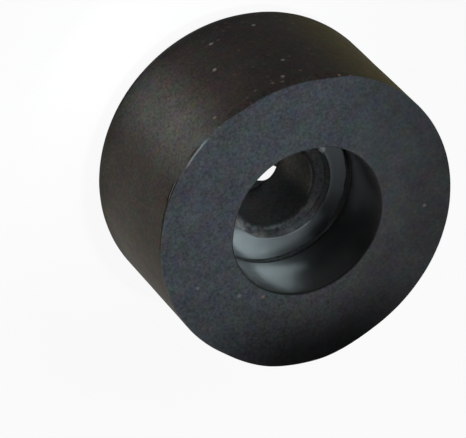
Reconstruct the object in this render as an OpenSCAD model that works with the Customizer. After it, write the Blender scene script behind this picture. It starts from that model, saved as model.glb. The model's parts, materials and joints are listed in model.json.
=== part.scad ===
// Screw-on rubber foot for a small case or bench instrument.
//
// A round rubber moulding with a steel washer set into it. The foot is shown
// standing on its mounting face, z = 0, with its axis on +Z. The floor face,
// which meets the bench in use, is uppermost. A pan-head screw drops into the
// counterbore, bears on the washer and leaves through the mounting face.

/* [Rubber body] */
// Outside diameter of the rubber
foot_d = 25.4; // [21:0.1:40]
// Height from the mounting face to the floor face
foot_h = 14.3; // [11.5:0.1:30]
// Rounding of the outer edge at the floor face
floor_edge_r = 0.1; // [0.05:0.05:2]
// Rounding of the outer edge at the mounting face
mounting_edge_r = 2.4; // [0.2:0.1:3]

/* [Screw it takes] */
// Outside diameter of the screw's thread
screw_d = 6.35; // [4:0.05:8]
// Gap between the thread and the rubber, on the radius
screw_clearance = 0.325; // [0.1:0.025:0.6]
// Diameter of the screw's head
screw_head_d = 12.4; // [10:0.1:15]
// Gap between the head and the counterbore wall, on the radius
head_clearance = 0.3; // [0.1:0.05:0.8]

/* [Counterbore and hole] */
// Depth of the counterbore, from the floor face down to the washer
counterbore_depth = 6.05; // [2:0.05:8.5]
// Rounding of the counterbore's mouth
mouth_edge_r = 0.2; // [0.05:0.05:1]
// Depth of the 45 degree relief where the screw hole leaves the mounting face
relief_depth = 1.9; // [0.2:0.1:3]

/* [Washer] */
// Thickness of the washer
washer_t = 1.6; // [0.8:0.1:2.5]
// How far the washer's rim is buried beyond the counterbore wall
rim_grip = 2.25; // [0.8:0.05:5]
// Thickness of the rubber that lines the washer's hole
lining_t = 0.93; // [0.5:0.01:2]
// How far that lining stops below the washer's face
lining_recess = 0.5; // [0.4:0.05:0.8]
// Roll-over that the punch left on the washer's upper edges
washer_edge_r = 0.2; // [0.05:0.05:0.4]
// Sideways slip of the washer in the mould, along X
washer_shift_x = -0.34; // [-0.5:0.02:0.5]
// Sideways slip of the washer in the mould, along Y
washer_shift_y = 0.18; // [-0.5:0.02:0.5]

/* [Hidden] */

foot_r = foot_d / 2;
hole_r = screw_d / 2 + screw_clearance;
counterbore_r = screw_head_d / 2 + head_clearance;
rim_r = counterbore_r + rim_grip;
washer_bore_r = hole_r + lining_t;
washer_top = foot_h - counterbore_depth;
washer_bottom = washer_top - washer_t;

// How far a cut runs past the face it opens on
cut_over = 1;
$fn = 128;

rubber_colour = [0.25, 0.26, 0.29];
steel_colour = [0.72, 0.74, 0.76];

// What rounding takes off a square corner at [0, 0] whose solid lies in -X, -Y
module corner_waste(r) {
    difference() {
        translate([-r, -r])
            square(r + cut_over);
        translate([-r, -r])
            circle(r);
    }
}

// Plain round blank with both outer edges rounded
module blank() {
    rotate_extrude()
        difference() {
            square([foot_r, foot_h]);
            translate([foot_r, foot_h])
                corner_waste(floor_edge_r);
            translate([foot_r, 0])
                mirror([0, 1])
                    corner_waste(mounting_edge_r);
        }
}

// Room for the screw head, open at the floor face, with a rounded mouth
module counterbore() {
    translate([0, 0, washer_top])
        cylinder(h = counterbore_depth + cut_over, r = counterbore_r);
    rotate_extrude()
        translate([counterbore_r, foot_h])
            mirror([1, 0])
                corner_waste(mouth_edge_r);
}

// Way through for the thread, eased where it leaves the mounting face
module screw_hole() {
    translate([0, 0, -cut_over])
        cylinder(h = foot_h + cut_over, r = hole_r);
    translate([0, 0, -cut_over])
        cylinder(h = relief_depth + cut_over,
                 r1 = hole_r + relief_depth + cut_over, r2 = hole_r);
}

// The washer as punched: rolled upper edges, square lower ones
module washer_form() {
    translate([washer_shift_x, washer_shift_y, washer_bottom])
        rotate_extrude()
            difference() {
                translate([washer_bore_r, 0])
                    square([rim_r - washer_bore_r, washer_t]);
                translate([rim_r, washer_t])
                    corner_waste(washer_edge_r);
                translate([washer_bore_r, washer_t])
                    mirror([1, 0])
                        corner_waste(washer_edge_r);
            }
}

// The top of the washer's hole, which the rubber lining leaves open
module washer_mouth() {
    translate([washer_shift_x, washer_shift_y, washer_top - lining_recess])
        cylinder(h = lining_recess + cut_over, r = washer_bore_r + washer_edge_r);
}

module rubber_body() {
    color(rubber_colour)
        difference() {
            blank();
            counterbore();
            screw_hole();
            washer_form();
            washer_mouth();
        }
}

module steel_washer() {
    color(steel_colour)
        washer_form();
}

rubber_body();
steel_washer();
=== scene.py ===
# %% [markdown]
# # A screw-on rubber foot, drawn around its CAD model
#
# The real thing is a thick ring of moulded rubber with a steel washer set into it. A screw drops into the
# recess, bears on the washer and holds the foot to a case. This file keeps the CAD model as the frame and
# builds two pieces round it: the rubber moulding and the washer. Nothing here changes a main size: those
# are read back from the CAD model or from its record.

import json
import math

import bmesh
import bpy
from mathutils import Matrix, Vector


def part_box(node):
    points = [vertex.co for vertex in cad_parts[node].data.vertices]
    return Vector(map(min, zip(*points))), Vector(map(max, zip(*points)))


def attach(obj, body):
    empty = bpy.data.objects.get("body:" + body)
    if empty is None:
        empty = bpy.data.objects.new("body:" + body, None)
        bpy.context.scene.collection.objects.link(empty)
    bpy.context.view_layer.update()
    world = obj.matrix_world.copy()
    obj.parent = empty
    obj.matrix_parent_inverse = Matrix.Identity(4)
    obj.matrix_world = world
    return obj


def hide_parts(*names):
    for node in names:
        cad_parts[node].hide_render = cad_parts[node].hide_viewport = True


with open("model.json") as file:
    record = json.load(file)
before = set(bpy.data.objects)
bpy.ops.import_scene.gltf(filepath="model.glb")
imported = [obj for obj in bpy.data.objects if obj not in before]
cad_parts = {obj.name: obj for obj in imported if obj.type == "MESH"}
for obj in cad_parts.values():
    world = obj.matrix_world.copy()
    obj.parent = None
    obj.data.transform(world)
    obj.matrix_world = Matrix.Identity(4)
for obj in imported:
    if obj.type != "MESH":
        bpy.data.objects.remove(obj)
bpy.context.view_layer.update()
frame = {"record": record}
MM = 0.001


# %% [markdown]
# ## Sizes
#
# A box round each CAD node gives the foot's radius and height, and the washer's rim, top, bottom and
# centre. The record's mounts give the two bores. Only small things that no box can show, such as the
# rounding of an edge, are written out here, in millimetres.

# %% Sizes in millimetres
body_low, body_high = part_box("rubber_body")
washer_low, washer_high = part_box("steel_washer")
bores = {m["name"]: m["dims"]["r_mm"] for m in frame["record"]["mounts"] if m["kind"] == "bore"}

foot_radius = (body_high.x - body_low.x) / 2 / MM
foot_height = body_high.z / MM
rim_radius = (washer_high.x - washer_low.x) / 2 / MM
washer_top = washer_high.z / MM
washer_bottom = washer_low.z / MM
washer_centre = (washer_low + washer_high) / 2 / MM
hole_radius = bores["screw_hole"]
recess_radius = bores["counterbore"]

mounting_round = 2.4
floor_round = 0.1
mouth_round = 0.2
relief_depth = 1.9
washer_hole_radius = 4.43
lining_drop = 0.5
lining_top = washer_top - lining_drop
print(f"foot {2 * foot_radius:.2f} x {foot_height:.2f}, washer {2 * rim_radius:.2f} across, "
      f"top at {washer_top:.2f}, centre {washer_centre.x:.2f}, {washer_centre.y:.2f}")

# %% [markdown]
# ## Plain arithmetic inside node trees
#
# A formula made of Math nodes is hard to read when each node is wired by hand. `Value` wraps a socket
# and overloads the operators, so `1 - mask * 0.5` adds its own Math nodes, and `|` joins two masks by
# taking the larger. `Nodes.add` makes any other node: its type, then its settings, then what goes into
# its sockets. The same two classes serve the shader trees and the Geometry Nodes trees.

# %% A value
class Value:
    """A number that flows through a node tree."""

    def __init__(self, nodes, socket):
        self.nodes = nodes
        self.socket = socket

    def __add__(self, other):
        return self.nodes.math("ADD", self, other)

    def __sub__(self, other):
        return self.nodes.math("SUBTRACT", self, other)

    def __rsub__(self, other):
        return self.nodes.math("SUBTRACT", other, self)

    def __mul__(self, other):
        return self.nodes.math("MULTIPLY", self, other)

    def __truediv__(self, other):
        return self.nodes.math("DIVIDE", self, other)

    def __pow__(self, other):
        return self.nodes.math("POWER", self, other)

    def __mod__(self, other):
        return self.nodes.math("FLOORED_MODULO", self, other)

    def at_least(self, other):
        """The larger of the two. Between masks it is written as |."""
        return self.nodes.math("MAXIMUM", self, other)

    __radd__ = __add__
    __rmul__ = __mul__
    __or__ = at_least
    __ror__ = at_least

    def rise(self, low, high):
        """0 below low, 1 above high, and a smooth step between them."""
        node = self.nodes.add("ShaderNodeMapRange", {"interpolation_type": "SMOOTHSTEP"},
                              {0: self, 1: low, 2: high})
        return self.nodes.value(node)

    def window(self, low, high, soft):
        """1 between low and high, 0 outside them, with soft edges."""
        return self.rise(low - soft, low + soft) * (1 - self.rise(high - soft, high + soft))


# %% A node tree
class Nodes:
    """A node tree with one way to add a node."""

    def __init__(self, tree):
        self.tree = tree

    def add(self, kind, settings=None, sockets=None):
        node = self.tree.nodes.new(kind)
        for name, setting in (settings or {}).items():
            setattr(node, name, setting)
        for key, content in (sockets or {}).items():
            self.plug(node.inputs[key], content)
        return node

    def plug(self, socket, content):
        """Links a value, a colour or a socket, or sets a plain number, vector or colour."""
        content = getattr(content, "socket", content)
        if isinstance(content, bpy.types.NodeSocket):
            self.tree.links.new(content, socket)
        elif socket.type == "RGBA":
            socket.default_value = (*content, 1)
        else:
            socket.default_value = content

    def value(self, node, output=0):
        return Value(self, node.outputs[output])

    def math(self, operation, *values):
        node = self.add("ShaderNodeMath", {"operation": operation}, dict(enumerate(values)))
        return self.value(node)

    def tell(self, step):
        print(f"{step}: {len(self.tree.nodes)} nodes so far")


# %% [markdown]
# ## Camera
#
# The foot lies in front of a long lens, looked at from 53 degrees above, with the camera rolled so
# that the axis of the foot runs down to the right. The view direction comes from two angles, the roll
# turns the frame about it, and the distance is long, so that the foot keeps nearly parallel sides.

# %% Camera
elevation = math.radians(53.05)
roll = math.radians(136.56)
level_right = Vector((1, 0, 0))
level_up = Vector((0, math.sin(elevation), math.cos(elevation)))
towards_camera = Vector((0, -math.cos(elevation), math.sin(elevation)))
view_right = math.cos(roll) * level_right + math.sin(roll) * level_up
view_up = -math.sin(roll) * level_right + math.cos(roll) * level_up

camera_distance = 381
shift_left = 5.915
shift_up = 0.189
centre_of_floor_face = Vector((0, 0, foot_height))
eye = (centre_of_floor_face - shift_left * view_right + shift_up * view_up
       + camera_distance * towards_camera)

camera = bpy.data.objects.new("camera", bpy.data.cameras.new("camera"))
camera.data.lens = 371.95
camera.data.sensor_width = 36
camera.data.clip_start = 0.01
camera.data.clip_end = 10
axes = Matrix((view_right, view_up, towards_camera)).transposed().to_4x4()
camera.matrix_world = Matrix.Translation(eye * MM) @ axes
bpy.context.scene.collection.objects.link(camera)
bpy.context.scene.camera = camera
bpy.context.scene.view_settings.view_transform = "Standard"
print(f"camera {camera_distance} mm away, {camera.data.lens:.2f} mm lens")

# %% [markdown]
# ## Floor
#
# The foot stands on a plain white table. A table that is only lit never comes out as an even white, and
# more light would spoil the rubber, so its material adds a white glow that only camera, glossy and
# transmitted rays see. The rest stays an ordinary pale surface, and keeps the soft shadow of the foot.
# Under the foot, where it is dark, mirrored rays see almost no glow.

# %% Floor
floor_half = 2.0
floor_mesh = bpy.data.meshes.new("table")
floor_mesh.from_pydata([(-floor_half, -floor_half, 0), (floor_half, -floor_half, 0),
                        (floor_half, floor_half, 0), (-floor_half, floor_half, 0)], [], [(0, 1, 2, 3)])
floor = bpy.data.objects.new("table", floor_mesh)
bpy.context.scene.collection.objects.link(floor)
print(f"table {2 * floor_half:.0f} m wide")

# %% White of the floor
floor_glow = 0.92
glow_under_foot = 0.1

floor_material = bpy.data.materials.new("white_table")
floor_material.use_nodes = True
nodes = Nodes(floor_material.node_tree)
nodes.tree.nodes.clear()
ray = nodes.add("ShaderNodeLightPath")
spot_on_table = nodes.add("ShaderNodeTexCoord").outputs["Object"]
distance = nodes.add("ShaderNodeVectorMath", {"operation": "LENGTH"}, {0: spot_on_table})
from_foot = nodes.value(distance, "Value") / MM
open_table = glow_under_foot + (1 - glow_under_foot) * from_foot.rise(foot_radius - 1.5, foot_radius + 0.5)
mirrored = nodes.value(ray, "Is Glossy Ray") | nodes.value(ray, "Is Transmission Ray")
seen = nodes.value(ray, "Is Camera Ray") | mirrored * open_table
painted = nodes.add("ShaderNodeBsdfDiffuse", None, {"Color": (0.82, 0.82, 0.82)})
glowing = nodes.add("ShaderNodeEmission", None, {"Color": (1, 1, 1), "Strength": 1.0})
mixed = nodes.add("ShaderNodeMixShader", None,
                  {0: seen * floor_glow, 1: painted.outputs[0], 2: glowing.outputs[0]})
nodes.add("ShaderNodeOutputMaterial", None, {0: mixed.outputs[0]})
floor.data.materials.append(floor_material)
nodes.tell("white of the floor")

# %% [markdown]
# ## Light
#
# Soft light, as in a small studio. `level` is the brightness that a lamp gives a white card facing it, so
# a sum of levels near 1 lights the object plainly. The window stands behind the foot, high up. Its light
# bounces off the polished wall of the recess onto the washer and back, and that draws the bright
# crescent. The key lamp is a spot whose soft edge ends on the floor face, a strip lamp grazes
# the side, two low cards open the shadows to the left and right, a faint high one lifts the far side of
# the washer, and the world fills the rest.

# %% Kinds of lamp
aim = Vector((0, 0, 9.0))


def unit(azimuth, height):
    """The direction with those two angles, in degrees."""
    a, h = math.radians(azimuth), math.radians(height)
    return Vector((math.cos(a) * math.cos(h), math.sin(a) * math.cos(h), math.sin(h)))


def hang(name, lamp, direction, distance, target):
    """Hangs a lamp at that distance, in millimetres, facing the target."""
    holder = bpy.data.objects.new(name, lamp)
    holder.location = (target + distance * direction) * MM
    holder.rotation_euler = direction.to_track_quat("Z", "Y").to_euler()
    holder.visible_camera = False
    bpy.context.scene.collection.objects.link(holder)
    print(f"{name}: {distance} mm away, {lamp.energy:.3f} W")


def softbox(name, azimuth, height, distance, width, tall, level, colour, target=aim):
    lamp = bpy.data.lights.new(name, "AREA")
    lamp.shape = "RECTANGLE"
    lamp.size = width * MM
    lamp.size_y = tall * MM
    lamp.energy = level * math.pi ** 2 * (distance * MM) ** 2
    lamp.color = colour
    hang(name, lamp, unit(azimuth, height), distance, target)


def spot(name, azimuth, height, distance, beam_radius, softness, level, colour, target):
    lamp = bpy.data.lights.new(name, "SPOT")
    lamp.spot_size = 2 * math.atan(beam_radius / distance)
    lamp.spot_blend = softness
    lamp.shadow_soft_size = 0.02 * distance * MM
    lamp.energy = level * 4 * math.pi ** 2 * (distance * MM) ** 2
    lamp.color = colour
    hang(name, lamp, unit(azimuth, height), distance, target)


# %% Lamps and world
softbox("window", 190, 52, 300, 240, 110, level=0.46, colour=(0.85, 1.0, 1.045))
softbox("left_card", 12, 5, 260, 150, 60, level=1.0, colour=(1.0, 0.97, 0.92))
softbox("far_card", 152, 5, 260, 150, 60, level=0.13, colour=(1.0, 0.95, 0.45))
softbox("back_card", 10, 53, 300, 240, 110, level=0.024, colour=(0.96, 0.96, 1.0))
spot("key_lamp", -145, 84, 300, 24.0, 1.0, level=0.55, colour=(0.85, 0.93, 1.0),
     target=Vector((1.0, -9.0, foot_height)))
strip_place = foot_radius * unit(-79, 0) + Vector((0, 0, 0.65 * foot_height))
softbox("strip_lamp", -79, 0, 7, 3, 0.74 * foot_height, level=2.1, colour=(1.0, 0.99, 0.95),
        target=strip_place)

world = bpy.data.worlds.new("studio")
world.use_nodes = True
world_sky = world.node_tree.nodes["Background"]
world_sky.inputs["Color"].default_value = (0.93, 0.97, 1.0, 1)
world_sky.inputs["Strength"].default_value = 0.10
bpy.context.scene.world = world

# %% [markdown]
# ## How a finish is built
#
# A finish here follows from where a point lies on the piece, so each material reads Object coordinates
# and works out radius, azimuth and height. A painted texture would do, but it would need unwrapping and
# could not be changed with one number. `Colour` works like `Value`: `a.to(b, mask)` lets b cover a where
# the mask is 1, and `a * mask` darkens a. Noise of several sizes breaks up colour, gloss and relief.

# %% Noise and colour
def noise_node(nodes, point, size, detail=2.0, roughness=0.5):
    return nodes.add("ShaderNodeTexNoise", None,
                     {"Vector": point, "Scale": 1 / size, "Detail": detail, "Roughness": roughness})


def noise(nodes, point, size, detail, roughness=0.5):
    """Noise from 0 to 1 whose blobs are about size millimetres across."""
    return nodes.value(noise_node(nodes, point, size, detail, roughness))


class Colour:
    """A colour, plain at first, that flows through a node tree."""

    def __init__(self, nodes, socket):
        self.nodes = nodes
        self.socket = socket

    def to(self, other, amount):
        """This colour, with the other over it where the amount is 1."""
        node = self.nodes.add("ShaderNodeMix", {"data_type": "RGBA"}, {0: amount, 6: self, 7: other})
        return Colour(self.nodes, node.outputs[2])

    def __mul__(self, amount):
        node = self.nodes.add("ShaderNodeVectorMath", {"operation": "SCALE"}, {0: self, "Scale": amount})
        return Colour(self.nodes, node.outputs[0])

    def tinted(self, point, size, strength):
        """This colour with its red, green and blue each wandering a little, in blobs of that size."""
        wander = noise_node(self.nodes, point, size).outputs["Color"]
        drift = self.nodes.add("ShaderNodeVectorMath", {"operation": "MULTIPLY_ADD"},
                               {0: wander, 1: (strength,) * 3, 2: (1 - strength / 2,) * 3})
        product = self.nodes.add("ShaderNodeVectorMath", {"operation": "MULTIPLY"},
                                 {0: self, 1: drift.outputs[0]})
        return Colour(self.nodes, product.outputs[0])


# %% Place and finish
class Place:
    """Where a point lies, in millimetres and degrees, round the foot's axis or round another centre."""

    def __init__(self, nodes, position, centre=Vector((0, 0, 0))):
        scaled = nodes.add("ShaderNodeVectorMath", {"operation": "SCALE"}, {0: position, "Scale": 1 / MM})
        self.point = scaled.outputs[0]
        parts = nodes.add("ShaderNodeSeparateXYZ", None, {0: self.point})
        self.x, self.y, self.z = (nodes.value(parts, i) for i in range(3))
        across, along = self.x - centre.x, self.y - centre.y
        self.radius = (across * across + along * along) ** 0.5
        self.azimuth = nodes.math("ARCTAN2", along, across) * (180 / math.pi)

    def near(self, azimuth, half_width, soft):
        """1 within half_width degrees of that azimuth, with soft edges."""
        return self.azimuth.window(azimuth - half_width, azimuth + half_width, soft)


class Finish(Nodes):
    """The node tree of a new material, and the place of each point on the piece."""

    def __init__(self, name):
        self.material = bpy.data.materials.new(name)
        self.material.use_nodes = True
        super().__init__(self.material.node_tree)
        self.coordinates = self.add("ShaderNodeTexCoord").outputs["Object"]
        self.at = Place(self, self.coordinates)

    def colour(self, red, green, blue):
        return Colour(self, (red, green, blue))

    def put(self, name, content):
        """Feeds one input of the shader."""
        self.plug(self.tree.nodes["Principled BSDF"].inputs[name], content)

    def put_relief(self, strength, depth, height):
        """Feeds the normal with a bump of that depth in millimetres."""
        bump = self.add("ShaderNodeBump", None,
                        {"Strength": strength, "Distance": depth * MM, "Height": height})
        self.put("Normal", bump.outputs[0])


# %% [markdown]
# ## Moulded rubber
#
# Black rubber is never quite black. Its floor face has a bluish bloom, turning browner towards the far
# side, with painted shade making the far side darker and a dark crescent on one side. The moulded side is
# browner still, dusty with a painted sheen in one part, with a painted sheen streak in another, with
# painted olive light where it turns away, and with painted shade towards the mounting end. First come the
# zones: masks that are 1 on one part of the moulding. Then each zone gets its colour, from the large
# parts to the small ones.

# %% Zones of the moulding
rubber = Finish("moulded_rubber")
at = rubber.at
below_face = foot_height - at.z

inside = at.z.window(0.3, foot_height - 0.15, 0.1) * (1 - at.radius.rise(8.9, 9.4))
in_hole = 1 - at.radius.rise(hole_radius - 0.02, hole_radius + 0.1)
in_groove = inside * at.z.window(washer_top - 0.1, washer_top + 0.5, 0.02) * at.radius.rise(5.6, 5.9)
on_ledge = inside * at.z.window(lining_top - 0.15, washer_top + 0.2, 0.05) * (1 - at.radius.rise(4.9, 5.2))
on_side = at.radius.rise(foot_radius - 0.9, foot_radius - 0.6) * below_face.rise(0.06, 0.14)
on_face = (1 - on_side) * (1 - inside)

cloudy = noise(rubber, at.point, 3.0, 3)
patches = noise(rubber, at.point, 0.55, 3, 0.6)
grain = noise(rubber, at.point, 0.24, 3, 0.7)
speckle = noise(rubber, at.point, 0.09, 1)
rubber.tell("zones and noise")

# %% Floor face
painted_shade_black = (0.005, 0.005, 0.005)
uneven_radius = at.radius + (cloudy - 0.5) * 1.5
# Painted shade: a dark crescent on one side of the floor face, beside the key lamp's soft edge, and a darker
# far side.
painted_shade_crescent = at.azimuth.rise(-12, 50) * (1 - at.azimuth.rise(68, 128)) * uneven_radius.rise(5.5, 12.4)
far_side = at.y * 0.64 - at.x * 0.77
browner = (at.y * 0.98 - at.x * 0.17).rise(-2, 8)
bloom = rubber.colour(0.050, 0.053, 0.058).to((0.056, 0.053, 0.0545), browner)
colour = bloom.to(painted_shade_black, painted_shade_crescent | far_side.rise(0, 12) * 0.25)
rubber.tell("floor face")

# %% Side
dust_and_sheen_brown = (0.033, 0.029, 0.024)
painted_olive_light = (0.037, 0.028, 0.005)
painted_sheen_grey = (0.035, 0.034, 0.032)
# Dust with a painted sheen brightens the left part of the side, and a painted reflection lifts its lower left
# part.
dust_and_sheen = at.near(-20, 38, 12)
painted_reflection_low_left = at.near(-24, 9, 8) * (1 - at.z.rise(8, 11))
# Painted olive light where the side turns away.
painted_olive_light_mask = (1 - at.azimuth.rise(-162, -132)) | at.azimuth.rise(150, 178)
# Painted sheen: a pale streak down the side, beside the strip lamp's light.
painted_sheen_streak = at.near(-78, 12, 9) * (0.7 + grain * 0.6)
side_colour = rubber.colour(0.0230, 0.0177, 0.0158).to(dust_and_sheen_brown, dust_and_sheen)
side_colour = side_colour.to(painted_olive_light, painted_olive_light_mask).to(painted_sheen_grey, painted_sheen_streak).tinted(at.point, 0.8, 0.6)
# Painted shade: the side is darker towards the mounting end.
side_colour = side_colour * ((0.55 + 0.45 * at.z.rise(1.2, 3.6)) * (1 + 0.2 * painted_reflection_low_left))
colour = colour.to(side_colour, on_side)
rubber.tell("side")

# %% [markdown]
# ### Recess
#
# The recess is painted darker than the outside, as painted shade where little light gets in, and as dirt,
# because nobody wipes it. Its mouth is painted nearly black, as painted shade. The screw hole is painted
# lighter on its far part and towards its lower end, with painted light, and so is the far part of the
# groove round the washer, while the fringe in the hole is painted darker with painted shade. The ledge,
# which is the upper end of the lining in the washer's hole, is chalky, with a pale lip along the washer,
# a few smuts, painted shade along the edge of the screw hole, and lighter places, rubbed bare in part and
# a painted reflection in others.

# %% Hole and mouth
recess_painted_shade = (0.016, 0.0155, 0.015)
# Painted shade and dirt: the whole recess is painted darker than the outside.
colour = colour.to((0.036, 0.036, 0.035), inside)
on_fringe = at.z.window(1.6, 2.0, 0.05)
# Painted light: the far part of the hole is painted pale olive, and the hole is painted lighter towards its
# lower end; painted shade darkens the fringe.
hole_colour = rubber.colour(0.041, 0.040, 0.0375).to((0.24, 0.22, 0.175), at.near(150, 30, 14))
hole_colour = hole_colour * ((1.9 - 0.9 * at.z.rise(2.5, 6.5)) * (1 - 0.65 * on_fringe))
colour = colour.to(hole_colour, in_hole)
# Painted shade: the mouth of the recess, down to its rounding, is painted nearly black.
in_mouth = (1 - at.radius.rise(recess_radius + 0.2, recess_radius + 0.3)) * (1 - below_face.rise(1.0, 1.4))
colour = colour.to(recess_painted_shade, in_mouth * below_face.rise(0.03, 0.08))
rubber.tell("hole and mouth")

# %% Groove
groove_colour = rubber.colour(0.060, 0.059, 0.057).to((0.045, 0.044, 0.042), at.azimuth.rise(48, 62))
# Painted light: the far part of the groove is painted lighter where it lies in shade.
groove_colour = groove_colour.to((0.26, 0.25, 0.24), at.azimuth.rise(85, 105))
colour = colour.to(groove_colour, in_groove)
on_skin = in_groove * (1 - at.z.rise(washer_top + 0.06, washer_top + 0.09)) * (1 - at.radius.rise(6.5, 6.6))
# Painted shade: the skin in the groove is painted nearly black on one side.
skin_colour = rubber.colour(0.040, 0.039, 0.038).to(recess_painted_shade, at.azimuth.rise(50, 80))
colour = colour.to(skin_colour, on_skin)
rubber.tell("groove")

# %% Ledge
from_middle = Place(rubber, rubber.coordinates, washer_centre).radius
on_step = on_ledge * at.z.window(lining_top + 0.06, washer_top - 0.02, 0.04)
colour = colour.to((0.066, 0.065, 0.064), on_step)
chalky = on_ledge * at.near(25, 50, 25) * patches.rise(0.30, 0.70)
colour = colour.to((0.082, 0.082, 0.085), chalky)
on_lip = on_ledge * from_middle.rise(4.15, 4.3) * (1 - at.azimuth.rise(98, 112))
colour = colour.to((0.104, 0.102, 0.100), on_lip)
# Painted shade along the edge of the screw hole.
colour = colour * (1 - 0.4 * on_ledge * (1 - at.radius.rise(3.65, 3.9)))
smut = at.near(20, 3, 4) + at.near(53, 10, 6)
colour = colour * (1 - 0.5 * on_ledge * at.radius.window(3.95, 4.3, 0.12) * smut)
# Lighter places on the ledge: rubbed bare in part, and a painted reflection in the two patches.
painted_reflection_patches = (at.near(104, 10, 8) + 0.5 * at.near(71, 3, 4)) * (1 - at.radius.rise(4.3, 4.5))
rubbed_bare_and_painted_reflection = on_ledge * at.radius.rise(3.7, 4.0) * (1 - at.azimuth.rise(9, 17) + 1.1 * painted_reflection_patches)
colour = colour * (1 + 0.6 * rubbed_bare_and_painted_reflection)
rubber.tell("ledge")

# %% [markdown]
# ### Cuts, grain and dust
#
# A knife took the waste off the floor edge in short cuts. Their bottoms are darkened with painted shade,
# and a pale painted highlight runs along parts of the rim and on a strip between two cuts. Over everything
# lies a grain, a few pale specks of dust and rusty ones, in known places, and fainter ones strewn by a
# Voronoi texture, which puts one point in each cell. One pale spot lies on the far edge of the washer's hole.

# %% Cuts and rim
deep = 1 - at.radius.rise(foot_radius - 0.16, foot_radius - 0.08)
in_cut = on_side * at.near(-60, 24, 2) * deep * below_face.rise(0.08, 0.16)
# Painted shade in the bottoms of the trimming cuts.
colour = colour * (1 - 0.85 * in_cut)
at_rim = at.radius.rise(foot_radius - 0.2, foot_radius - 0.14) * (1 - below_face.rise(0.08, 0.13))
# Painted highlight: a pale line along parts of the rim, pale flecks on it, and a pale strip between two cuts.
painted_highlight_flecks = at.near(-98, 26, 4) * patches.rise(0.52, 0.62) * 0.4
between_cuts = on_side * at.near(-61, 3.5, 1.5) * below_face.window(0.28, 0.37, 0.03)
painted_rim_highlight = at_rim * (at.near(-77.5, 6, 1.5) | painted_highlight_flecks) | between_cuts * 0.6
colour = colour.to((0.15, 0.16, 0.155), painted_rim_highlight)
rubber.tell("cuts and rim")


# %% Dust
def dust_specks(finish, places, size):
    """1 on specks of about size millimetres at those places, given as radius, azimuth and height."""
    point = finish.at.point
    ragged = (noise(finish, point, size * 0.8, 1) - 0.5) * size
    mask = 0
    for radius, azimuth, height in places:
        angle = math.radians(azimuth)
        place = Vector((radius * math.cos(angle), radius * math.sin(angle), height))
        away = finish.add("ShaderNodeVectorMath", {"operation": "DISTANCE"}, {0: point, 1: place})
        mask = mask | 1 - (finish.value(away, "Value") + ragged).rise(size * 0.4, size * 0.9)
    return mask


def scattered_dust(finish, spacing, size, share):
    """1 on tiny specks strewn at random, about one in each cell of that spacing times the share."""
    cells = finish.add("ShaderNodeTexVoronoi", None, {"Vector": finish.at.point, "Scale": 1 / spacing})
    chance = finish.value(finish.add("ShaderNodeSeparateXYZ", None, {0: cells.outputs["Color"]}))
    close = 1 - finish.value(cells, "Distance").rise(size / spacing * 0.4, size / spacing * 0.9)
    return close * finish.math("LESS_THAN", chance, share)


pale_specks = [(foot_radius, -127, 4.0), (foot_radius, -109, 4.5), (foot_radius, -103, 7.9),
               (foot_radius, -125, 10.5), (foot_radius, -120, 12.9), (10.3, -15, foot_height),
               (8.0, 5, foot_height)]
rusty_specks = [(10.4, 138, foot_height), (7.1, 20, foot_height), (foot_radius, -115, 13.3),
                (foot_radius, -91, 13.0), (6.6, -2, 13.9)]
# A pale spot on the far edge of the washer's hole.
pale_spot_places = [(4.80, 175.5, washer_top)]
pale_spot_size = 0.44
print(f"{len(pale_specks)} pale specks, {len(rusty_specks)} rusty ones, {len(pale_spot_places)} light scrap")

# %% Grain and dust on the rubber
colour = colour.tinted(at.point, 1.1, 0.6)
graininess = 2.2 - 0.9 * on_face * far_side.rise(0, 8)
colour = colour * (1.0 + (grain - 0.5) * graininess + (cloudy - 0.5) * 0.5)
dust = dust_specks(rubber, pale_specks, 0.24) | scattered_dust(rubber, 1.3, 0.12, 0.16) * 0.3
colour = colour.to((0.20, 0.19, 0.17), dust * (0.7 - 0.35 * on_face))
by_the_rim = on_side * at.near(-126, 22, 8) * (1 - 0.7 * below_face.rise(0.8, 2.2))
strewn_rust = scattered_dust(rubber, 0.8, 0.22, 0.6) * by_the_rim * 0.9
rust = dust_specks(rubber, rusty_specks, 0.22) | strewn_rust
colour = colour.to((0.17, 0.105, 0.085), rust * (0.6 + 0.25 * on_face))
colour = colour.to((0.30, 0.30, 0.29), dust_specks(rubber, pale_spot_places, pale_spot_size))

rough_side = on_side * (1 - at.azimuth.rise(-125, -105) * at.z.rise(2, 5))
rubber.put("Base Color", colour)
rubber.put("Roughness", 0.66 - inside * 0.12 + rough_side * 0.12 + (grain - 0.5) * 0.3)
rubber.put("Specular IOR Level", 0.06)
rubber.put_relief(0.6, 0.05, grain * 0.7 + speckle * 0.3)
rubber.tell("moulded rubber")

# %% [markdown]
# ## Polished rubber
#
# The wall of the recess gets a finish of its own: it was moulded against a polished pin, and is smooth
# enough to mirror the washer, except in one dull patch. A coat over the rubber gives that mirror without
# making the rubber itself shiny. High up on one side the wall is a little lighter, and one narrow streak
# shines more.

# %% Polished rubber
polished = Finish("polished_rubber")
at = polished.at
cloudy = noise(polished, at.point, 1.6, 3)
grain = noise(polished, at.point, 0.25, 2)

# Lighter high up on one side of the wall.
lighter_high_up = at.z.rise(10.5, 13) * at.azimuth.window(52, 100, 9)
colour = polished.colour(0.0185, 0.0175, 0.0165).tinted(at.point, 1.1, 0.4) * (1 + 1.3 * lighter_high_up)

dull_from = 52 + 12 * at.z.rise(8.9, 10.5)
dull = (at.azimuth - dull_from).rise(-10, 12) * (1 - at.azimuth.rise(105, 125))
handled = at.azimuth.rise(18, 42) * (1 - at.z.rise(11.5, 13))
shine = at.near(27, 5, 5) * at.z.window(10.2, 12.8, 0.6)
gloss = (0.27 + 0.42 * at.z.rise(8.6, 10)) * (1 - handled * 0.2 + shine * 0.4) * (1 - dull * 0.9)

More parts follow.
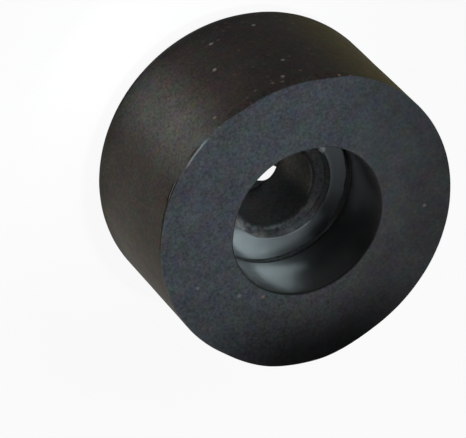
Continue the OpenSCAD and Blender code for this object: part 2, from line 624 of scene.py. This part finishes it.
polished.put("Base Color", colour)
polished.put("Specular IOR Level", 0.1)
polished.put("Coat Weight", gloss)
polished.put("Coat Roughness", 0.22)
polished.put_relief(0.2, 0.02, cloudy * 0.7 + grain * 0.3)
polished.tell("polished rubber")

# %% [markdown]
# ## Steel finish
#
# The washer is zinc plated: a satin, faintly clouded metal, duller on one side, and darkened with painted
# shade on the outer part of one side. A trace of rubber is left on it beside the lip, so it is less of a
# mirror there, and the pale spot lies on the far edge of its hole. Roughness and the share of bare metal
# do most of the work, because a metal shows its finish in what it mirrors.

# %% Steel
steel = Finish("zinc_plated_steel")
at = steel.at
from_middle = Place(steel, steel.coordinates, washer_centre).radius
cloudy = noise(steel, at.point, 1.4, 3)
grain = noise(steel, at.point, 0.12, 2)

by_the_lip = 1 - from_middle.rise(4.5, 4.75)
smeared = by_the_lip * (1 - at.azimuth.rise(86, 100))
darkened = by_the_lip * (1 - at.azimuth.rise(92, 108))
rubbed = smeared * at.near(82, 16, 8)
film = at.near(68, 14, 14) * (1 - (at.radius + (cloudy - 0.5) * 0.8).rise(4.8, 6.1)) * 0.17
film = film + at.near(93, 12, 6) * (1 - from_middle.rise(4.7, 5.5)) * 0.06
pale_spot_mask = dust_specks(steel, pale_spot_places, pale_spot_size)

colour = steel.colour(0.62, 0.65, 0.66).to((0.52, 0.56, 0.57), cloudy.rise(0.3, 0.8))
# Painted shade darkens the outer part of the washer on one side.
colour = colour * (1 - 0.6 * at.near(95, 10, 5) * from_middle.rise(5.2, 5.8))
colour = colour.to((0.09, 0.09, 0.09), darkened).to((0.25, 0.25, 0.245), pale_spot_mask)
not_metal = film + at.azimuth.rise(105, 130) * 0.022 | smeared * 0.8 | pale_spot_mask

steel.put("Base Color", colour)
steel.put("Metallic", 1 - not_metal)
steel.put("Roughness", 0.15 + cloudy * 0.06 + at.azimuth.rise(105, 135) * 0.05 + rubbed * 0.25)
steel.put_relief(0.15, 0.02, cloudy * 0.4 + grain * 0.6)
steel.tell("zinc plated steel")

# %% [markdown]
# ## Turning an outline
#
# Both pieces are turned shapes, like work from a lathe: a closed outline in a half plane, carried round
# the axis. A Spin modifier or `bmesh.ops.spin` would do, but Geometry Nodes keep the sizes as named
# inputs and can bend the result afterwards. The tree places one point for each corner, rounds the
# corners with Fillet Curve, cuts long runs into short ones, and lays the outline round a grid: the rows
# of the grid follow the outline and its columns go round the axis.

# %% Corners
class Corner:
    """One corner of an outline, with its radius and height in metres.

    It is rounded by that much, in so many arcs. The run after it is cut into pieces of about step
    millimetres. Where slip is 1 it moves with the washer, which sits a little off centre.
    """

    def __init__(self, radius, height, rounding=0.0, arcs=4, step=5.0, slip=0):
        self.place = (radius, height)
        self.fields = {"rounding": rounding, "arcs": float(arcs), "step": step * MM, "slip": float(slip)}


def vector(nodes, x, y, z):
    return nodes.add("ShaderNodeCombineXYZ", None, {0: x, 1: y, 2: z}).outputs[0]


def by_index(nodes, kind, choices):
    """A field that takes the choice with the point's own index."""
    switch = nodes.add("GeometryNodeIndexSwitch", {"data_type": kind})
    while len(switch.index_switch_items) < len(choices):
        switch.index_switch_items.new()
    nodes.plug(switch.inputs[0], nodes.add("GeometryNodeInputIndex").outputs[0])
    for i, choice in enumerate(choices):
        nodes.plug(switch.inputs[i + 1], choice)
    return switch.outputs[0]


def stored(nodes, name):
    """A field that reads back what was stored under that name."""
    return nodes.value(nodes.add("GeometryNodeInputNamedAttribute", {"data_type": "FLOAT"}, {"Name": name}))


# %% From corners to an outline
def outline_of(nodes, corners):
    """The closed outline as a curve, with its corners rounded and its long runs cut up."""
    places = [vector(nodes, radius, 0.0, height) for radius, height in (c.place for c in corners)]
    points = nodes.add("GeometryNodePoints", None,
                       {"Count": len(corners), "Position": by_index(nodes, "VECTOR", places)}).outputs[0]
    for name in corners[0].fields:
        choices = by_index(nodes, "FLOAT", [c.fields[name] for c in corners])
        points = nodes.add("GeometryNodeStoreNamedAttribute", {"data_type": "FLOAT", "domain": "POINT"},
                           {"Geometry": points, "Name": name, "Value": choices}).outputs[0]

    outline = nodes.add("GeometryNodePointsToCurves", None, {0: points}).outputs[0]
    outline = nodes.add("GeometryNodeSetSplineCyclic", None, {0: outline, "Cyclic": True}).outputs[0]
    outline = nodes.add("GeometryNodeFilletCurve", {"mode": "POLY"},
                        {"Curve": outline, "Count": stored(nodes, "arcs"),
                         "Radius": stored(nodes, "rounding")}).outputs[0]

    position = nodes.add("GeometryNodeInputPosition").outputs[0]
    following = nodes.add("GeometryNodeOffsetPointInCurve", None, {"Offset": 1}).outputs["Point Index"]
    ahead = nodes.add("GeometryNodeFieldAtIndex", {"data_type": "FLOAT_VECTOR", "domain": "POINT"},
                      {"Value": position, "Index": following}).outputs[0]
    gap = nodes.add("ShaderNodeVectorMath", {"operation": "DISTANCE"}, {0: position, 1: ahead})
    cuts = nodes.math("FLOOR", nodes.value(gap, "Value") / stored(nodes, "step"))
    return nodes.add("GeometryNodeSubdivideCurve", None, {"Curve": outline, "Cuts": cuts}).outputs[0]


# %% From an outline to a turned shape
merge_distance = 0.0005


def sampled(nodes, kind, outline, value, index):
    """What a field holds at that point of the outline."""
    return nodes.add("GeometryNodeSampleIndex", {"data_type": kind, "domain": "POINT"},
                     {"Geometry": outline, "Value": value, "Index": index})


def turned(nodes, corners, turns, slip_x, slip_y):
    """Geometry of the outline turned about the upright axis. All sizes are in metres."""
    outline = outline_of(nodes, corners)
    count = nodes.value(nodes.add("GeometryNodeAttributeDomainSize", {"component": "CURVE"}, {0: outline}))
    grid = nodes.add("GeometryNodeMeshGrid", None,
                     {"Vertices X": turns + 1, "Vertices Y": count + 1}).outputs["Mesh"]
    index = nodes.value(nodes.add("GeometryNodeInputIndex"))
    row = index % (count + 1)
    column = nodes.math("ROUND", (index - row) / (count + 1))
    from_row = row % count

    position = nodes.add("GeometryNodeInputPosition").outputs[0]
    corner = sampled(nodes, "FLOAT_VECTOR", outline, position, from_row)
    slipped = nodes.value(sampled(nodes, "FLOAT", outline, stored(nodes, "slip"), from_row))
    parts = nodes.add("ShaderNodeSeparateXYZ", None, {0: corner.outputs[0]})
    radius, height = nodes.value(parts, "X"), nodes.value(parts, "Z")
    angle = column * (2 * math.pi / turns)
    turned_place = vector(nodes, radius * nodes.math("COSINE", angle) + slipped * slip_x,
                          radius * nodes.math("SINE", angle) + slipped * slip_y, height)
    shape = nodes.add("GeometryNodeSetPosition", None, {"Geometry": grid, "Position": turned_place})
    merged = nodes.add("GeometryNodeMergeByDistance", None,
                       {"Geometry": shape.outputs[0], "Distance": merge_distance * MM})
    return merged.outputs[0]


# %% [markdown]
# ## From tree to plain mesh
#
# A Geometry Nodes piece is a live modifier. The export wants plain meshes, so the evaluated result is
# copied into a mesh and the modifier goes. Seams are already merged, so the normals can be made to
# point outwards, and edges sharper than a set angle stay crisp under smooth shading.

# %% Start and end of a tree
def new_tree(name, sizes):
    """A Geometry Nodes tree with a named input for each size in millimetres."""
    tree = bpy.data.node_groups.new(name, "GeometryNodeTree")
    tree.interface.new_socket("Geometry", in_out="OUTPUT", socket_type="NodeSocketGeometry")
    for size in sizes:
        tree.interface.new_socket(size, in_out="INPUT", socket_type="NodeSocketFloat")
    nodes = Nodes(tree)
    inputs = nodes.add("NodeGroupInput")
    return nodes, {size: nodes.value(inputs, size) * MM for size in sizes}


def finish_tree(nodes, geometry, material, second=None, where=None):
    """Ends the tree in Realize Instances and Set Material, with a second material in one place."""
    geometry = nodes.add("GeometryNodeRealizeInstances", None, {0: geometry}).outputs[0]
    geometry = nodes.add("GeometryNodeSetMaterial", None, {0: geometry, "Material": material}).outputs[0]
    if second:
        geometry = nodes.add("GeometryNodeSetMaterial", None,
                             {0: geometry, "Selection": where, "Material": second}).outputs[0]
    nodes.add("NodeGroupOutput", None, {0: geometry})


# %% Tree to mesh
crisp_angle = 35


def close_up(mesh):
    """Turns the normals outwards, keeps sharp edges crisp, and prints what the mesh measures."""
    work = bmesh.new()
    work.from_mesh(mesh)
    bmesh.ops.recalc_face_normals(work, faces=work.faces)
    open_edges = sum(not e.is_manifold for e in work.edges)
    volume = work.calc_volume(signed=True) / MM ** 3
    work.to_mesh(mesh)
    work.free()
    mesh.shade_smooth()
    mesh.set_sharp_from_angle(angle=math.radians(crisp_angle))
    triangles = sum(len(p.vertices) - 2 for p in mesh.polygons)
    print(f"{mesh.name}: {triangles} triangles, {open_edges} open edges, {volume:.0f} cubic mm")


def plain_mesh(name, nodes, sizes):
    """Evaluates the tree with those sizes and returns an object with the plain mesh."""
    piece = bpy.data.objects.new(name, bpy.data.meshes.new(name + "_start"))
    bpy.context.scene.collection.objects.link(piece)
    modifier = piece.modifiers.new("turning", "NODES")
    modifier.node_group = nodes.tree
    for item in nodes.tree.interface.items_tree:
        if item.in_out == "INPUT":
            modifier[item.identifier] = float(sizes[item.name])
    evaluated = piece.evaluated_get(bpy.context.evaluated_depsgraph_get())
    mesh = bpy.data.meshes.new_from_object(evaluated)
    piece.modifiers.remove(modifier)
    piece.data = mesh
    mesh.name = name
    close_up(mesh)
    return piece


# %% [markdown]
# ## Rubber moulding
#
# The outline goes once round the section: mounting face, side, floor face, recess, the pocket that
# holds the washer, the lining of the washer's hole, and the screw hole with its relief. A narrow groove
# runs where the recess wall meets the washer, because the mould pin that pressed on the washer had a
# rounded edge. A thin skin of rubber runs from the groove onto the washer, and a lip from the lining.

# %% Sizes of the moulding
rubber_sizes = {
    "foot_radius": foot_radius, "foot_height": foot_height, "mounting_round": mounting_round,
    "floor_round": floor_round, "recess_radius": recess_radius, "mouth_round": mouth_round,
    "groove_height": 0.38, "groove_depth": 0.3, "skin_width": 0.16, "rim_radius": rim_radius,
    "washer_hole_radius": washer_hole_radius, "washer_top": washer_top, "washer_bottom": washer_bottom,
    "lining_top": lining_top, "lip_width": 0.14, "hole_radius": hole_radius, "relief_depth": relief_depth,
    "slip_x": washer_centre.x, "slip_y": washer_centre.y,
}
nodes, s = new_tree("rubber_moulding", rubber_sizes)
edge_band = 0.7 * MM
mouth_band = 1.3 * MM
lining_round = 0.29 * MM
skin = 0.04 * MM
hair = 0.005 * MM
groove_top = s["washer_top"] + s["groove_height"]
groove_radius = s["recess_radius"] + s["groove_depth"]
skin_radius = s["recess_radius"] - s["skin_width"]
lip_radius = s["washer_hole_radius"] + s["lip_width"]
print(f"{len(rubber_sizes)} named sizes")

# %% Outline of the moulding
section = [
    Corner(s["hole_radius"] + s["relief_depth"], 0.0, step=0.9),
    Corner(s["foot_radius"], 0.0, s["mounting_round"], arcs=12, step=0.9),
    Corner(s["foot_radius"], s["foot_height"] - edge_band, step=0.046),
    Corner(s["foot_radius"], s["foot_height"], s["floor_round"], arcs=4, step=0.15),
    Corner(s["foot_radius"] - edge_band, s["foot_height"], step=0.7),
    Corner(s["recess_radius"], s["foot_height"], s["mouth_round"], arcs=5, step=0.3),
    Corner(s["recess_radius"], s["foot_height"] - mouth_band, step=0.3),
    Corner(s["recess_radius"], groove_top),
    Corner(groove_radius, groove_top - s["groove_height"] * 0.6),
    Corner(groove_radius, s["washer_top"] + skin * 2),
    Corner(skin_radius, s["washer_top"] + skin),
    Corner(skin_radius, s["washer_top"] + hair),
    Corner(s["rim_radius"], s["washer_top"], slip=1),
    Corner(s["rim_radius"], s["washer_bottom"], slip=1),
    Corner(s["washer_hole_radius"], s["washer_bottom"], slip=1),
    Corner(s["washer_hole_radius"], s["washer_top"] + hair, slip=1),
    Corner(lip_radius, s["washer_top"] + hair, slip=1),
    Corner(lip_radius - skin, s["washer_top"] + skin, step=0.12, slip=1),
    Corner(s["washer_hole_radius"] - skin, s["washer_top"] + skin, step=0.15, slip=1),
    Corner(s["washer_hole_radius"] - 6 * skin, s["lining_top"], step=0.15, slip=1),
    Corner(s["hole_radius"], s["lining_top"], lining_round, arcs=5, step=0.8),
    Corner(s["hole_radius"], s["relief_depth"], step=0.8),
]
moulding_turns = 720
moulding = turned(nodes, section, moulding_turns, s["slip_x"], s["slip_y"])
print(f"outline of {len(section)} corners in {moulding_turns} turns")

# %% [markdown]
# ## Moving the skin
#
# A turned shape is too perfect for a moulding. After turning, each point of the skin is moved outwards or
# upwards by a formula of its radius, azimuth and height: short trimming cuts under the floor edge, a
# bevel on one side, a slight swell on another, and a faint unevenness everywhere, from the same noise as
# in the finishes. The swell is so small that the moulding stays inside the box of its CAD node.

# %% Masks on the moulding
position = nodes.add("GeometryNodeInputPosition").outputs[0]
at = Place(nodes, position)
from_middle = Place(nodes, position, washer_centre).radius
below_face = foot_height - at.z

on_side = at.radius.rise(foot_radius - 0.6, foot_radius - 0.3)
on_face = at.z.rise(foot_height - 0.12, foot_height - 0.03)
on_mouth = 1 - at.radius.rise(recess_radius + 0.25, recess_radius + 1.0)
on_mouth = on_mouth * at.z.rise(foot_height - 1.2, foot_height - 0.3)
on_wall = at.radius.window(recess_radius - 0.1, recess_radius + 0.1, 0.03)
on_wall = on_wall * at.z.rise(washer_top + 0.6, washer_top + 1.2)
on_ledge = at.z.window(lining_top - 0.1, lining_top + 0.1, 0.05) * (1 - at.radius.rise(4.1, 4.4))
on_washer = at.z.window(washer_top, washer_top + 0.08, 0.004)
on_skin = on_washer * at.radius.window(recess_radius - 0.3, recess_radius - 0.1, 0.03)
on_lip = on_washer * from_middle.window(washer_hole_radius + 0.06, washer_hole_radius + 0.24, 0.01)
nodes.tell("masks on the moulding")

# %% Cuts, bevel and swell
# Each trimming cut has a first and last azimuth, a distance below the floor face, and a depth.
trims = [(-79, -75, 0.30, 0.28), (-65, -58, 0.20, 0.20), (-63, -57, 0.46, 0.18), (-57, -49, 0.30, 0.18),
         (-50, -38, 0.17, 0.16)]
half_cut = 0.04
cut = 0
for first, last, down, deep in trims:
    beside = below_face.window(down - half_cut, down + half_cut, 0.04)
    cut = cut + at.azimuth.window(first, last, 2.5) * beside * deep
shaved = at.azimuth.window(-85, -70, 2) * (1 - below_face.rise(0.0, 0.12)) * 0.09
bevel = at.azimuth.window(-140, -94, 7) * (1 - below_face / 0.5).at_least(0.0) * 0.36
swell = at.azimuth.window(28, 70, 12) * at.z.rise(8, foot_height) * 0.30
print(f"{len(trims)} trimming cuts, up to {max(deep for *_, deep in trims)} mm deep")

# %% Recess and hole
mouth_in = on_mouth * at.azimuth.window(-138, -36, 12) * 0.18
wide_hole = at.z.rise(6.6, 7.3) * (1 - at.radius.rise(3.6, 4.1)) * at.azimuth.window(14, 110, 12) * 0.16
torn_edge = at.z.window(1.7, 2.1, 0.4) * (1 - at.radius.rise(3.7, 4.3)) * at.azimuth.window(92, 107, 6) * 0.10
more_skin = at.azimuth.window(105, 165, 10) * 0.13 - at.azimuth.window(8, 60, 8) * 0.09
less_lip = at.azimuth.rise(28, 44)
nodes.tell("recess and hole")


# %% Skin moved
def moved(nodes, geometry, azimuth, outwards, upwards):
    """Moves points away from the axis and up, by amounts in millimetres."""
    angle = azimuth * (math.pi / 180)
    offset = vector(nodes, nodes.math("COSINE", angle) * outwards * MM,
                    nodes.math("SINE", angle) * outwards * MM, upwards * MM)
    return nodes.add("GeometryNodeSetPosition", None, {"Geometry": geometry, "Offset": offset}).outputs[0]


slow = noise(nodes, at.point, 3.2, 2)
quick = noise(nodes, at.point, 0.7, 2)
lip = (quick - 0.5) * (0.45 - 0.3 * less_lip) - 0.11 * less_lip
outwards = (on_side * (swell - bevel - cut - shaved - 0.05 * slow) - mouth_in + wide_hole + torn_edge
            + on_wall * (slow - 0.5) * 0.05 + on_lip * lip + on_skin * ((quick - 0.5) * 0.3 - more_skin))
upwards = on_face * -0.05 * slow + on_ledge * (quick - 0.5) * 0.24
moulding = moved(nodes, moulding, at.azimuth, outwards, upwards)
nodes.tell("skin moved")

# %% [markdown]
# ## Flash in the screw hole
#
# Two pins shape the screw hole, one from each end. Where they meet, a film of rubber is squeezed
# in between, and it tears when the mould opens. What is left is a ragged fringe round the end of the
# relief. It is a thin ring of its own, turned in the same tree and joined to the moulding, with its
# inner edge moved by a formula of the azimuth. A gap is torn right back to the wall.

# %% Flash fringe
fringe_root = s["hole_radius"] + 0.5 * MM
fringe_edge = s["hole_radius"] - 1.0 * MM
fringe_section = [
    Corner(fringe_root, s["relief_depth"] - 0.12 * MM),
    Corner(fringe_root, s["relief_depth"] - 0.04 * MM),
    Corner(fringe_edge, s["relief_depth"] - 0.06 * MM),
    Corner(fringe_edge, s["relief_depth"] - 0.10 * MM),
]
fringe_turns = 360
fringe = turned(nodes, fringe_section, fringe_turns, s["slip_x"], s["slip_y"])

torn = at.azimuth.rise(65, 96) * (1 - at.azimuth.rise(111.8, 113.2))
wide = at.azimuth.window(48, 150, 10)
ragged = (noise(nodes, at.point, 0.5, 3) - 0.5) * (0.25 - torn * 0.2)
left_over = 0.16 + 0.78 * wide - 1.08 * torn + ragged
inner = 1 - at.radius.rise(hole_radius - 0.6, hole_radius - 0.4)
fringe = moved(nodes, fringe, at.azimuth, inner * (1.0 - left_over.at_least(-0.2)), 0.0)
print(f"fringe of {len(fringe_section)} corners in {fringe_turns} turns")

# %% Joined and made a plain mesh
wall_band = 0.06
joining = nodes.add("GeometryNodeJoinGeometry")
nodes.plug(joining.inputs[0], moulding)
nodes.plug(joining.inputs[0], fringe)
polished_wall = (nodes.math("LESS_THAN", at.radius, recess_radius + wall_band)
                 * nodes.math("GREATER_THAN", at.radius, recess_radius - wall_band)
                 * nodes.math("GREATER_THAN", at.z, washer_top + 0.45)
                 * nodes.math("LESS_THAN", at.z, foot_height - mouth_round))
finish_tree(nodes, joining.outputs[0], rubber.material, polished.material, polished_wall)
rubber_piece = plain_mesh("rubber_moulding", nodes, rubber_sizes)

# %% [markdown]
# ## Washer
#
# A punched steel ring. The punch leaves a slight roll-over on its upper edges and a clean lower side.
# Most of it is buried: only a crescent shows at the bottom of the recess.

# %% Washer
washer_sizes = {
    "rim_radius": rim_radius, "washer_hole_radius": washer_hole_radius, "washer_top": washer_top,
    "washer_bottom": washer_bottom, "outer_round": 0.2, "inner_round": 0.03,
    "centre_x": washer_centre.x, "centre_y": washer_centre.y,
}
nodes, s = new_tree("steel_washer_ring", washer_sizes)
section = [
    Corner(s["washer_hole_radius"], s["washer_bottom"], slip=1),
    Corner(s["rim_radius"], s["washer_bottom"], slip=1),
    Corner(s["rim_radius"], s["washer_top"], s["outer_round"], step=0.4, slip=1),
    Corner(s["washer_hole_radius"], s["washer_top"], s["inner_round"], slip=1),
]
washer_turns = 256
ring = turned(nodes, section, washer_turns, s["centre_x"], s["centre_y"])
finish_tree(nodes, ring, steel.material)
washer_piece = plain_mesh("washer_ring", nodes, washer_sizes)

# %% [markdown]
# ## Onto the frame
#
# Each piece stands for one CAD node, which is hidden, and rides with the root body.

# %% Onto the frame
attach(rubber_piece, "root")
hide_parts("rubber_body")
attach(washer_piece, "root")
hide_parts("steel_washer")
